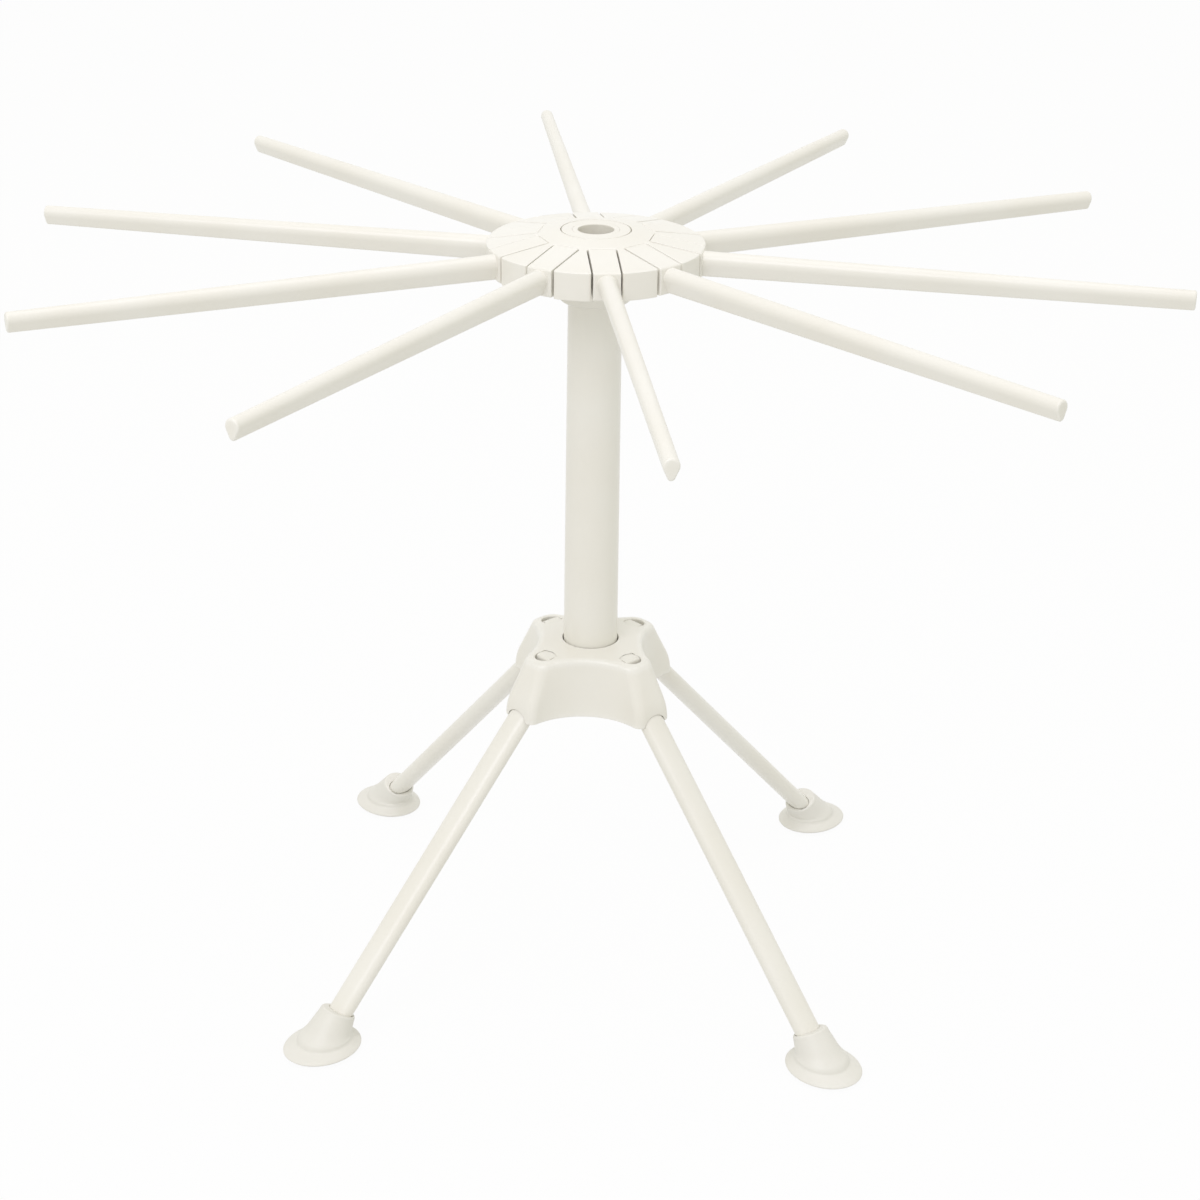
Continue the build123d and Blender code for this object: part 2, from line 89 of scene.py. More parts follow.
def moulded_plastic(name, colour, thick_colour, worn_colour, roughness, peel_height, peel_pitch=3.2, speck_pitch=0.9):
    """Injection-moulded plastic: slow colour drift of the melt, a skin that copies the mould's polish as faint ripples,
    and edges rubbed paler."""
    material = bpy.data.materials.new(name)
    material.use_nodes = True
    tree = material.node_tree
    tree.nodes.clear()
    place = node(tree, "ShaderNodeTexCoord").outputs["Object"]
    drift = node(tree, "ShaderNodeTexNoise", {"Vector": place, "Scale": 1 / (34 * MM), "Detail": 2.0, "Roughness": 0.45})
    drift_share = node(tree, "ShaderNodeMapRange", {"Value": drift.outputs["Fac"], "From Min": 0.3, "From Max": 0.7})
    melt = node(tree, "ShaderNodeMix", {
        0: drift_share.outputs[0], 6: linear(colour), 7: linear(thick_colour)}, data_type="RGBA")
    rubbed = node(tree, "ShaderNodeAttribute", attribute_name="edge")
    speck = node(tree, "ShaderNodeTexNoise", {"Vector": place, "Scale": 1 / (speck_pitch * MM), "Detail": 3.0})
    rub_share = node(tree, "ShaderNodeMath", {0: rubbed.outputs["Fac"], 1: speck.outputs["Fac"]}, operation="MULTIPLY")
    skin = node(tree, "ShaderNodeMix", {
        0: rub_share.outputs[0], 6: melt.outputs[2], 7: linear(worn_colour)}, data_type="RGBA")
    sheen = node(tree, "ShaderNodeMapRange", {
        "Value": speck.outputs["Fac"], "From Min": 0.3, "From Max": 0.7,
        "To Min": roughness - 0.02, "To Max": roughness + 0.02})
    ripple = node(tree, "ShaderNodeTexNoise", {"Vector": place, "Scale": 1 / (peel_pitch * MM), "Detail": 1.0})
    relief = node(tree, "ShaderNodeBump", {
        "Height": ripple.outputs["Fac"], "Distance": peel_height * MM, "Strength": 1.0})
    surface = node(tree, "ShaderNodeBsdfPrincipled", {
        "Base Color": skin.outputs[2], "Roughness": sheen.outputs[0], "Normal": relief.outputs[0], "IOR": 1.53})
    node(tree, "ShaderNodeOutputMaterial", {"Surface": surface.outputs[0]})
    return material


# Glossy ivory ABS, moulded in polished steel: an even, barely cream white, with soft highlights that break up slightly.
ivory_abs = moulded_plastic("ivory_abs_injection_moulded", "#F1EFE8", "#EEEBE2", "#F8F7F3", 0.3, 0.0018)


def grid_faces(rows, columns):
    """Quads between the neighbours of a grid of points."""
    index = np.arange(rows * columns).reshape(rows, columns)
    return np.stack([index[:-1, :-1], index[:-1, 1:], index[1:, 1:], index[1:, :-1]], -1).reshape(-1, 4)


def piece(name, patches, body, nodes, material, edges=None, sharp=None, weighted=True):
    """Joins patches into one closed mesh: each is a grid of points whose neighbours make quads, and points that meet
    become one. edges gives each patch how far each row or point is a rubbed edge, from 0 to 1."""
    vertices, quads, rub, start = [], [], [], 0
    for number, patch in enumerate(patches):
        rows, columns = patch.shape[:2]
        quads.append(grid_faces(rows, columns) + start)
        vertices.append(patch.reshape(-1, 3) * MM)
        worn = np.zeros((rows, 1)) if edges is None else np.asarray(edges[number], float).reshape(rows, -1)
        rub.append(np.broadcast_to(worn, (rows, columns)).ravel())
        start += rows * columns
    mesh = bpy.data.meshes.new(name)
    mesh.from_pydata(np.concatenate(vertices).tolist(), [], np.concatenate(quads).tolist())
    mesh.attributes.new("edge", "FLOAT", "POINT").data.foreach_set("value", np.concatenate(rub).astype(np.float32))
    shell = bmesh.new()
    shell.from_mesh(mesh)
    bmesh.ops.remove_doubles(shell, verts=shell.verts, dist=weld * MM)
    bmesh.ops.dissolve_degenerate(shell, edges=shell.edges, dist=sliver * MM)
    bmesh.ops.recalc_face_normals(shell, faces=shell.faces)
    shell.to_mesh(mesh)
    shell.free()
    made = bpy.data.objects.new(name, mesh)
    bpy.context.scene.collection.objects.link(made)
    dress(made, body, nodes, material, sharp, weighted)
    return made


def dress(made, body, nodes, material, sharp=None, weighted=True):
    """Gives a piece its material, smooth shading with flat faces kept flat, and its place in the frame."""
    made.data.materials.clear()
    made.data.materials.append(material)
    made.data.polygons.foreach_set("use_smooth", np.ones(len(made.data.polygons), bool))
    if sharp is not None:
        made.data.set_sharp_from_angle(angle=radians(sharp))
    if weighted:
        made.modifiers.new("flat_faces", "WEIGHTED_NORMAL").keep_sharp = sharp is not None
    if body:
        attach(made, body)
        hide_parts(*nodes)


def turn(points, azimuth):
    """Points turned about +Z by an angle in degrees: x cos - y sin, x sin + y cos."""
    c, s = cos(radians(azimuth)), sin(radians(azimuth))
    return points @ np.array([[c, s, 0], [-s, c, 0], [0, 0, 1]])


def lobed_line(level, inset=0.0, saddle_steps=28, corner_steps=13, end_steps=5):
    """Plan outline at a level from 0 at the bottom to 1 at the top: the lobes' straight ends, their two round corners, and
    the circles of the saddles that touch these. An inset makes the corners' radius smaller and the saddles' larger."""
    reach, width, curve, waist = (
        np.interp(level, [0, knee_level, 1], sizes) for sizes in (lobe_reach, lobe_end, lobe_round, saddle_reach))
    far, near = ((reach - curve + side * width / 2) / sqrt(2) for side in (1, -1))
    run = waist - far
    saddle = (run ** 2 + near ** 2 - curve ** 2) / (2 * (curve - run))
    half = atan2(near, waist + saddle - far)
    sweep = np.linspace(pi + half, pi - half, saddle_steps + 1)[:-1]
    hollow = np.stack([waist + saddle + (saddle + inset) * np.cos(sweep), (saddle + inset) * np.sin(sweep)], -1)
    sweep = np.linspace(-half, pi / 4, corner_steps)
    first = np.stack([far + (curve - inset) * np.cos(sweep), near + (curve - inset) * np.sin(sweep)], -1)
    second = first[::-1, ::-1]
    end = np.linspace(first[-1], second[0], end_steps + 1)[1:-1]
    quarter = np.concatenate([hollow, first, end, second[:-1]])
    turns = [turn(np.pad(quarter, ((0, 0), (0, 1))), 90 * k)[:, :2] for k in range(4)]
    line = np.concatenate(turns)
    return np.concatenate([line, line[:1]])


def top_z(plan):
    """Height of the collar's top: it falls outwards in a straight line from the socket's mouth."""
    r = np.hypot(plan[..., 0], plan[..., 1])
    return collar_top - top_fall * (r - mouth_radius) / (lobe_reach[2] - mouth_radius)


def lift(plan, z):
    """Plan points with a height."""
    return np.concatenate([plan, np.broadcast_to(z, plan.shape[:1])[:, None]], 1)


def corner(start, point, end, steps=5):
    """A rounded edge as a parabola from start to end that touches both faces that meet at point."""
    t = np.linspace(0, 1, steps + 1)[:, None, None]
    return (1 - t) ** 2 * start + 2 * t * (1 - t) * point + t ** 2 * end


def circle_like(line, radius, z):
    """A circle whose points lie in the same directions as a plan line's points."""
    away = line[:, :2] / np.hypot(line[:, 0], line[:, 1])[:, None]
    return lift(away * radius, z)


bottom_line, knee_line, top_line = (
    lift(lobed_line(level), collar_bottom + level * collar_height) for level in (0, knee_level, 1))
share = (top_z(top_line) - knee_line[:, 2]) / (collar_height - knee_height)
brink = knee_line + share[:, None] * (top_line - knee_line)
brink[:, 2] = top_z(brink)
down = brink + (knee_line - brink) * (brink_run / (collar_height - knee_height))
over_knee = knee_line + (brink - knee_line) * (knee_run / (collar_height - knee_height))
under_knee = knee_line + (bottom_line - knee_line) * (knee_run / knee_height)
inner = lobed_line(1.0, brink_inset)
inner = lift(inner, top_z(inner))
foot_up = bottom_line + (knee_line - bottom_line) * (edge_run / knee_height)
foot_in = lift(lobed_line(0.0, edge_run), collar_bottom)
mouth_edge = circle_like(inner, mouth_radius, collar_top)
mouth_out = circle_like(inner, mouth_radius + lip_run, 0)
mouth_out[:, 2] = top_z(mouth_out)
recess_rim = circle_like(inner, screw_seat_room, collar_bottom)
rings = [
    corner(foot_in, bottom_line, foot_up, 3),
    corner(under_knee, knee_line, over_knee, 8),
    np.linspace(0, 1, 10)[1:-1, None, None] * (down - over_knee) + over_knee,
    corner(down, brink, inner, 6),
    np.linspace(0, 1, 8)[1:-1, None, None] * (mouth_out - inner) + inner,
    corner(mouth_out, mouth_edge, circle_like(inner, mouth_radius, collar_top - lip_run), 4),
    [circle_like(inner, radius, z) for radius, z in (
        (mouth_radius, collar_top - mouth_depth), (socket_radius, collar_top - mouth_depth), (socket_radius, socket_floor),
        (screw_hole, socket_floor), (screw_hole, screw_seat), (screw_seat_room, screw_seat))],
    np.linspace(0, 1, 5)[:, None, None] * (foot_in - recess_rim) + recess_rim,
]
collar_wear = np.concatenate([np.full(len(ring), wear) for ring, wear in zip(rings, (0.6, 0, 0, 0.7, 0, 0.5, 0, 0))])
collar = piece("collar_body", [np.concatenate([np.asarray(ring) for ring in rings])], None, [], ivory_abs,
               edges=[collar_wear], weighted=False)


def window_cutter(azimuth, steps=72):
    """The round window over a leg's knuckle: a cylinder that flares along an arc where it meets the sloping top."""
    around = np.linspace(0, 2 * pi, steps + 1)
    t = np.radians([0, 18, 36, 54, 68])
    radius = np.concatenate([[0, window_radius], window_radius + window_flare * (1 - np.cos(t)),
                             [window_radius + window_flare + window_wider, 0]])
    drop = np.concatenate([-window_flare * (1 - np.sin(t)), [window_above, window_above]])
    x = leg_pivot[0] + window_offset + radius[:, None] * np.cos(around)
    y = radius[:, None] * np.sin(around)
    z = np.empty_like(x)
    z[:2] = leg_pivot[1]
    z[2:] = top_z(np.stack([x[2:], y[2:]], -1)) + drop[:, None]
    return turn(np.stack([x, y, z], -1), azimuth)


def prism(outline, half_width, azimuth):
    """A line in the upright plane of a leg, carried across to both sides, with its two ends closed by n-gons."""
    side = np.stack([outline[:, 0], np.full(len(outline), half_width), outline[:, 1]], -1)
    points = np.concatenate([side, side * [1, -1, 1]])
    n = len(outline)
    faces = [[k, (k + 1) % n, (k + 1) % n + n, k + n] for k in range(n)]
    faces += [list(range(n)), list(range(2 * n - 1, n - 1, -1))]
    return turn(points, azimuth) * MM, faces


def arc(centre, radius, start, end, steps=20):
    """Points of a circular arc in a plane, angles in degrees."""
    sweep = np.radians(np.linspace(start, end, steps + 1))
    return np.stack([centre[0] + radius * np.cos(sweep), centre[1] + radius * np.sin(sweep)], -1)


reach_down = collar_bottom - below
fall = leg_pivot[1] - reach_down
swing = np.concatenate([
    [[leg_pivot[0] - leg_half_room, reach_down]], arc(leg_pivot, leg_half_room, 180, degrees(leg_tilt) - swing_stop, 36),
    [[leg_pivot[0] + fall * tan(leg_tilt) + swing_spare, reach_down]]])


def keyhole(radius):
    """A round bearing's outline, open downwards."""
    x = leg_pivot[0]
    return np.concatenate([[[x - radius, reach_down]], arc(leg_pivot, radius, 180, 0, 32), [[x + radius, reach_down]]])


def lug_reach(angle, power=8):
    """How far the knuckle's lug reaches by angle from +Z outwards: the rounded corner |z/height|^n + |x/side|^n = 1."""
    side = np.where(np.sin(angle) > 0, lug_outside, lug_inside)
    flat = (np.maximum(np.cos(angle), 0) / lug_height) ** power + (abs(np.sin(angle)) / side) ** power
    return np.where(np.cos(angle) > 0, flat ** (-1 / power), 0)


def knuckle_way():
    """The knuckle's outline: a round bearing open downwards, wider on the outer side, where the lug swings to as the leg
    folds."""
    x, corner_angle = leg_pivot[0], degrees(atan2(lug_height, lug_outside))
    lug_room = lug_reach(np.linspace(0, pi / 2, 91)).max() + lug_clearance
    return np.concatenate([
        [[x - knuckle_room, reach_down]], arc(leg_pivot, knuckle_room, 180, corner_angle + 2, 26),
        arc(leg_pivot, lug_room, corner_angle, 0, 12), [[x + lug_room, reach_down]]])


def leg_oval(a, growth=0.0, power=2.25):
    """The leg's section by angle: a flat oval |x/depth|^n + |y/width|^n = 1, its depth outwards and its width across."""
    c, s = np.cos(a), np.sin(a)
    out = (leg_depth / 2 + growth) * np.sign(c) * abs(c) ** (2 / power)
    return out, (leg_width / 2 + growth) * np.sign(s) * abs(s) ** (2 / power)


def splayed(points):
    """Points that hang from the knuckle along -Z, turned out by the leg's tilt and moved to its bearing."""
    c, s = cos(leg_tilt), sin(leg_tilt)
    x = points[..., 0] * c - points[..., 2] * s
    z = points[..., 0] * s + points[..., 2] * c
    return np.stack([x + leg_pivot[0], points[..., 1], z + leg_pivot[1]], -1)


def leg_way(azimuth):
    """The oval tunnel that a splayed leg leaves the collar by, from its bearing to below the collar."""
    out, wide = leg_oval(np.linspace(0, 2 * pi, 81), leg_room_growth)
    grow, down = np.array([[0], [1], [1], [0]]), -np.array([[0], [0], [1], [1]]) * (fall / cos(leg_tilt) + way_spare)
    return turn(splayed(np.stack([out * grow, wide * grow, np.broadcast_to(down, (4, 81))], -1)), azimuth)


def cutter(name, points, faces):
    """A closed solid that is taken out of the collar."""
    mesh = bpy.data.meshes.new(name)
    mesh.from_pydata(points.tolist(), [], faces)
    shell = bmesh.new()
    shell.from_mesh(mesh)
    bmesh.ops.remove_doubles(shell, verts=shell.verts, dist=weld * MM)
    bmesh.ops.recalc_face_normals(shell, faces=shell.faces)
    shell.to_mesh(mesh)
    shell.free()
    made = bpy.data.objects.new(name, mesh)
    bpy.context.scene.collection.objects.link(made)
    return made


cutters = []
for _, azimuth in leg_places:
    for name, outline, half_width in (("swing", swing, pocket_width / 2), ("knuckle", knuckle_way(), knuckle_half_room),
                                      ("bearing", keyhole(bearing_room), bearing_half_room)):
        cutters.append(cutter(name, *prism(outline, half_width, azimuth)))
    for name, grid in (("way_out", leg_way(azimuth)), ("window", window_cutter(azimuth))):
        cutters.append(cutter(name, grid.reshape(-1, 3) * MM, grid_faces(*grid.shape[:2]).tolist()))
for tool in cutters:
    cut = collar.modifiers.new("cut", "BOOLEAN")
    cut.operation, cut.solver, cut.object = "DIFFERENCE", "EXACT", tool
bpy.context.view_layer.update()
carved = bpy.data.meshes.new_from_object(collar.evaluated_get(bpy.context.evaluated_depsgraph_get()))
collar.modifiers.clear()
collar.data = carved
for tool in cutters:
    bpy.data.objects.remove(tool)
dress(collar, "stand", ["collar"], ivory_abs, sharp=38)

# POST AND ITS SCREW
# A round tube that narrows a little upwards, its solid foot held in the collar's socket by one steel screw from below.
# Its thinner upper end is the journal on which the hub turns, open at the top.
post_radius, post_top_radius, journal_radius = 10.25, 9.8, 8.48
bore_radius, bore_bottom, boss_bottom, hub_top = 6.5, 122.0, 264.0, 289.7
post_rounding = (0, 0.5, 0.3, 0.3, 0.2, 0.12, 0.3, 0.5, 0)    # at each of the profile's corners


def rounded_line(corners, radii, inset=0.0, steps=5, runs=1):
    """A closed line of straight runs whose corners are arcs that touch both runs. An inset moves it to its left: the arcs
    keep their centres, and their radius shrinks at left turns and grows at right turns."""
    p, r = np.asarray(corners, float), np.asarray(radii, float)
    before, after = p - np.roll(p, 1, 0), np.roll(p, -1, 0) - p
    before /= np.linalg.norm(before, axis=1)[:, None]
    after /= np.linalg.norm(after, axis=1)[:, None]
    bend = np.arctan2(before[:, 0] * after[:, 1] - before[:, 1] * after[:, 0], (before * after).sum(1))
    side = np.where(bend > 0, 1.0, -1.0)
    left = np.stack([-before[:, 1], before[:, 0]], -1)
    centre = p - before * (r * np.tan(abs(bend) / 2))[:, None] + left * (side * r)[:, None]
    spoke = -left * side[:, None]
    angle = bend[:, None] * np.linspace(0, 1, steps + 1)
    c, s = np.cos(angle)[..., None], np.sin(angle)[..., None]
    across = np.stack([-spoke[:, 1], spoke[:, 0]], -1)
    arcs = centre[:, None] + (r - side * inset)[:, None, None] * (c * spoke[:, None] + s * across[:, None])
    ends = np.roll(arcs[:, 0], -1, 0)
    t = np.linspace(0, 1, runs + 1)[1:-1, None]
    filled = [np.concatenate([a, a[-1] + t * (e - a[-1])]) for a, e in zip(arcs, ends)]
    line = np.concatenate(filled)
    return np.concatenate([line, line[:1]])


def turned(profile, steps=144):
    """A line in (radius, height) carried round the post's axis: x = r cos a, y = r sin a."""
    a = np.linspace(0, 2 * pi, steps + 1)
    r, z = profile[:, :1], np.broadcast_to(profile[:, 1:], (len(profile), steps + 1))
    return np.stack([r * np.cos(a), r * np.sin(a), z], -1)


post_corners = [
    (0, socket_floor), (post_radius, socket_floor), (post_radius, collar_top), (post_top_radius, boss_bottom),
    (journal_radius, boss_bottom), (journal_radius, hub_top), (bore_radius, hub_top), (bore_radius, bore_bottom),
    (0, bore_bottom)]
post_line = rounded_line(post_corners, post_rounding, runs=3)
axis_end = np.argmax((post_line[:, 0] < 1e-6) & (post_line[:, 1] > bore_bottom - 0.1))
piece("post_tube", [turned(post_line[:axis_end + 1])], "stand", ["post"], ivory_abs)

# LEGS
# Flat oval bars, each moulded with a narrow round knuckle and two trunnions, which turn in its pocket of the collar.
# Same glossy ABS as the collar. They splay outwards and run down into the feet.
knuckle_radius, knuckle_half, knuckle_edge, shoulder_edge = 5.9, 3.4, 0.35, 0.9
trunnion_radius, trunnion_half, trunnion_edge = 2.0, 6.8, 0.2
leg_end_z = 5.72
leg_length = (leg_pivot[1] - leg_end_z) / cos(leg_tilt)


def disc_across(radius, half, edge, lug=False):
    """A round disc whose axis lies across the leg, its two edges quarter circles. A lug reaches beyond it, up and
    outwards."""
    t = np.radians(np.linspace(0, 90, 6))
    a = np.linspace(0, 2 * pi, 193)
    outline = np.maximum(radius, lug_reach(pi / 2 - a - leg_tilt)) if lug else np.full(len(a), radius)
    drop, y = edge * (1 - np.sin(t)), half - edge + edge * np.cos(t)
    r = outline - np.concatenate([drop, drop[::-1]])[:, None]
    r, y = np.concatenate([0 * r[:1], r, 0 * r[:1]]), np.concatenate([[half], y, -y[::-1], [-half]])[:, None]
    return splayed(np.stack([r * np.cos(a), np.broadcast_to(y, r.shape), r * np.sin(a)], -1))


def leg_patches():
    """The bar, its oval section carried down from the knuckle and closed at both ends; the knuckle, the leg's round
    shoulders beside it, and the trunnions."""
    out, wide = leg_oval(np.linspace(0, 2 * pi, 73))
    down = -np.concatenate([[0, 0.3], np.linspace(1, leg_length - 0.6, 40), [leg_length - 0.2, leg_length, leg_length]])
    grow = np.concatenate([[0, 1, 1], np.ones(39), [0.97, 0.9, 0]])[:, None]
    bar = np.stack([out * grow, wide * grow, np.broadcast_to(down[:, None], (len(down), 73))], -1)
    discs = ((knuckle_radius, knuckle_half, knuckle_edge, True), (leg_depth / 2, leg_width / 2, shoulder_edge),
             (trunnion_radius, trunnion_half, trunnion_edge))
    return [splayed(bar)] + [disc_across(*disc) for disc in discs]


leg_grids = leg_patches()
for place, azimuth in leg_places:
    piece(f"leg_bar_{place}", [turn(grid, azimuth) for grid in leg_grids], f"leg_{place}", [f"leg_{place}"], ivory_abs)

# FEET
# Push-on feet: an oval pad with a sloping brim, longer outwards than across, and a leaning boot that grips the leg's end.
# Moulded in a softer, matter grade of the same ivory, so they slide less on a worktop.
# The foot's sections: distance of the middle from the post's axis, height, half length up the slope, half width, slope in
# degrees. They go from the ground out to the pad's edge, up its brim, up the step round the boot, and up the boot.
foot_sections = np.array([
    [131.5, 0.0, 12.4, 10.3, 0], [131.5, 0.8, 14.2, 12.1, 0], [131.5, 1.4, 15.05, 12.9, 0], [131.5, 1.8, 15.15, 12.95, 0],
    [131.35, 2.3, 14.5, 12.5, 0], [130.9, 3.0, 13.0, 11.5, 0], [130.5, 3.65, 11.6, 10.4, 0], [130.3, 4.1, 10.95, 9.8, 0],
    [130.25, 4.6, 10.7, 9.55, 0], [130.15, 5.2, 10.5, 9.4, 0], [129.9, 5.85, 10.05, 9.0, 2], [129.1, 6.6, 9.3, 8.5, 5],
    [128.0, 7.6, 8.6, 8.0, 9], [126.7, 9.1, 7.9, 7.5, 15], [125.3, 10.75, 7.2, 7.05, 22], [124.0, 12.4, 6.6, 6.7, 28]])
boot_edge = 0.8
boot_socket = ((0.5, boot_edge), (0.22, 0.7), (0.1, 0.4), (0.1, -4))    # its gap round the leg by height over the rim
# Chalky soft-touch plastic: broad dull highlight, slightly greyer than the legs.
ivory_soft = moulded_plastic("ivory_soft_pvc_moulded", "#EBE9E3", "#E7E5DD", "#F1EFEA", 0.44, 0.002)


def eased(table, steps):
    """Rows of a table joined by Catmull-Rom curves: each row's slope is half the step between its neighbours."""
    ends = np.concatenate([2 * table[:1] - table[1:2], table, 2 * table[-1:] - table[-2:-1]])
    t = np.linspace(0, 1, steps, endpoint=False)[:, None]
    spans = []
    for a, b, c, d in zip(ends, ends[1:], ends[2:], ends[3:]):
        spans.append(b + t / 2 * (c - a) + t ** 2 * (a - 2.5 * b + 2 * c - d / 2)
                     + t ** 3 * (1.5 * (b - c) + (d - a) / 2))
    return np.concatenate(spans + [table[-1:]])


def leaning_oval(section, a, inset=0.0, rise=0.0):
    """An ellipse on a plane that rises outwards by its slope: along it x = length cos a, across it y = width sin a."""
    middle, height, length, width, slope = section
    c, s = cos(radians(slope)), sin(radians(slope))
    along = (length - inset) * np.cos(a)
    return np.stack([middle + along * c - rise * s, (width - inset) * np.sin(a), height + along * s + rise * c], -1)


def socket_ring(section, a, gap, rise):
    """Where the leg's outline, grown by a gap, runs along the leg into the plane of the boot's rim, lifted by a rise."""
    middle, height, _, _, slope = section
    out, wide = leg_oval(a, gap)
    s, c = sin(radians(slope)), cos(radians(slope))
    foot_x, foot_z = leg_pivot[0] + out * cos(leg_tilt), leg_pivot[1] + out * sin(leg_tilt)
    down = (c * (foot_z - height) - s * (foot_x - middle) - rise) / cos(leg_tilt - radians(slope))
    return np.stack([foot_x + down * sin(leg_tilt), wide, foot_z - down * cos(leg_tilt)], -1)


def foot_patch():
    """From the middle of the underside out round the pad's edge, in over its brim, up the step and the boot, over the
    boot's rim and down into the leg's socket."""
    a = np.linspace(0, 2 * pi, 145)
    walls = eased(foot_sections, 5)
    ground, rim = leaning_oval(walls[0], a), walls[-1]
    rings = [ground.mean(0) + share * (ground - ground.mean(0)) for share in (0, 0.5)]
    rings += [leaning_oval(section, a) for section in walls]
    rings += [leaning_oval(rim, a, boot_edge * (1 - cos(t)), boot_edge * sin(t)) for t in np.radians([18, 36, 54, 72, 90])]
    rings += [socket_ring(rim, a, gap, rise) for gap, rise in boot_socket]
    rings.append(np.broadcast_to(rings[-1].mean(0), rings[-1].shape))
    return np.array(rings)


foot_grid = foot_patch()
for place, azimuth in leg_places:
    piece(f"foot_boot_{place}", [turn(foot_grid, azimuth)], f"leg_{place}", [f"foot_{place}"], ivory_soft,
          weighted=False)

# HUB
# A disc with a shallow conical top and ten slots, one for each arm, on a long bearing boss.
# Moulded in the same glossy ABS, with its edges just broken.
hub_bottom, rim_top, hub_radius, recess_radius = 275.0, 285.0, 39.2, 12.75
slot_half, slot_end, web_nose, slot_corner = 5.4, 20.2, 0.9, 1.2
keeper_top, keeper_room, boss_radius, hub_bore, ring_seat = 277.2, 36.1, 13.0, 8.55, 286.6
hub_edge, hub_lip, hub_low_edge, boss_edge, bore_edge = 0.35, 0.18, 0.3, 0.5, 0.4
first_arm, arm_pitch = 27, 36            # degrees about the post
keeper_step, slot_turn = 22, 47          # the slot line's points at the edge of the keeper's room and in the corner's arc


def dome(plan):
    """Height of the hub's top: a straight cone from the ring's recess down to the rim."""
    r = np.hypot(plan[..., 0], plan[..., 1])
    return rim_top + (hub_top - rim_top) * (hub_radius - r) / (hub_radius - recess_radius)


def slot_line(inset):
    """Half of a tenth of the hub in plan: along the rim from the middle of a web, round the web's nose, in along the slot's
    wall, round the slot's corner and across its end to its middle. An inset moves each run into the plastic: straight runs
    by that much, arcs by their radius. The wall has two points where it crosses the edge of the keeper's room."""
    nose_x = sqrt((hub_radius - web_nose) ** 2 - (slot_half + web_nose) ** 2)
    lean = degrees(atan2(slot_half + web_nose, nose_x))
    half, corner_x = slot_half + inset, slot_end + slot_corner
    step_x = sqrt(keeper_room ** 2 - half ** 2)
    wall_x = np.concatenate([np.linspace(nose_x, step_x, 4)[1:], np.linspace(step_x, corner_x, 22)])
    return np.concatenate([
        arc((0, 0), hub_radius - inset, -arm_pitch / 2, -lean, 12),
        arc((nose_x, -slot_half - web_nose), web_nose - inset, -lean, 90, 6)[1:],
        np.stack([wall_x, np.full(len(wall_x), -half)], -1),
        arc((corner_x, slot_corner - slot_half), slot_corner + inset, 270, 180, 6)[1:],
        np.stack([np.full(6, slot_end - inset), np.linspace(slot_corner - slot_half, 0, 7)[1:]], -1)])


def web_spine(end_radius):
    """The line that each point of the slot line is joined to: in along the middle of the web to a circle, then along it.
    knots are the numbers of the slot line's points where its runs meet."""
    column = np.arange(len(slot_line(0)))
    knots = [0, 12, 18, 43, slot_turn, 49, 55]
    radius = np.interp(column, knots, [35, 34.5, 34, 19.5, end_radius, end_radius, end_radius])
    angle = np.radians(np.interp(column, knots, [-arm_pitch / 2] * 5 + [-13, 0]))
    return np.stack([radius * np.cos(angle), radius * np.sin(angle)], -1)


def hub_half():
    """Three patches of half a tenth: its walls with rounded edges, its top, and its underside, which steps up by the
    keeper's thickness inside the keeper's room; and the directions in which its top ends."""
    t = np.radians([0, 22.5, 45, 67.5, 90])
    floor = np.where(np.arange(len(slot_line(0))) < keeper_step, hub_bottom, keeper_top)
    walls = [lift(slot_line(hub_low_edge * (1 - cos(v))), floor + hub_low_edge * (1 - sin(v))) for v in t[::-1]]
    for v in t:
        plan = slot_line(hub_edge * (1 - cos(v)))
        walls.append(lift(plan, dome(plan) - hub_edge * (1 - sin(v))))
    plan, spine = slot_line(hub_edge), web_spine(recess_radius + hub_lip)
    rows = plan + np.linspace(0, 1, 11)[:, None, None] * (spine - plan)
    top = np.concatenate([rows, dome(rows)[..., None]], -1)
    plan, low_spine = slot_line(hub_low_edge), web_spine(boss_radius)
    way = low_spine - plan
    a, b, c = (way ** 2).sum(1), 2 * (way * plan).sum(1), (plan ** 2).sum(1) - keeper_room ** 2
    share = np.where(floor < keeper_top, (-b - np.sqrt(np.maximum(b * b - 4 * a * c, 0))) / (2 * a), 0)
    step = plan + share[:, None] * way
    inner = step + np.linspace(0, 1, 5)[1:, None, None] * (low_spine - step)
    under = np.concatenate([[lift(plan, floor), lift(step, floor), lift(step, keeper_top)],
                            np.concatenate([inner, np.full((*inner.shape[:2], 1), keeper_top)], -1)])
    return [np.array(walls), top, under], np.arctan2(spine[slot_turn:, 1], spine[slot_turn:, 0])


hub_halves, hub_directions = hub_half()
hub_directions = np.concatenate([hub_directions, -hub_directions[-2::-1]])
lip_start = np.array([recess_radius + hub_lip, dome(np.array([recess_radius + hub_lip, 0.0]))])
lip_point, lip_end = np.array([[recess_radius, hub_top]]), np.array([[recess_radius, hub_top - hub_lip]])
lip_curve = corner(lip_start[None], lip_point, lip_end, 4)[:, 0]
lip_line = np.concatenate([lip_curve, [
    (recess_radius, ring_seat), (hub_bore, ring_seat), (hub_bore, boss_bottom + bore_edge),
    (hub_bore + bore_edge, boss_bottom), (boss_radius - boss_edge, boss_bottom), (boss_radius, boss_bottom + boss_edge),
    (boss_radius, keeper_top)]])
hub_middle = np.stack([lip_line[:, :1] * np.cos(hub_directions), lip_line[:, :1] * np.sin(hub_directions),
                       np.broadcast_to(lip_line[:, 1:], (len(lip_line), len(hub_directions)))], -1)
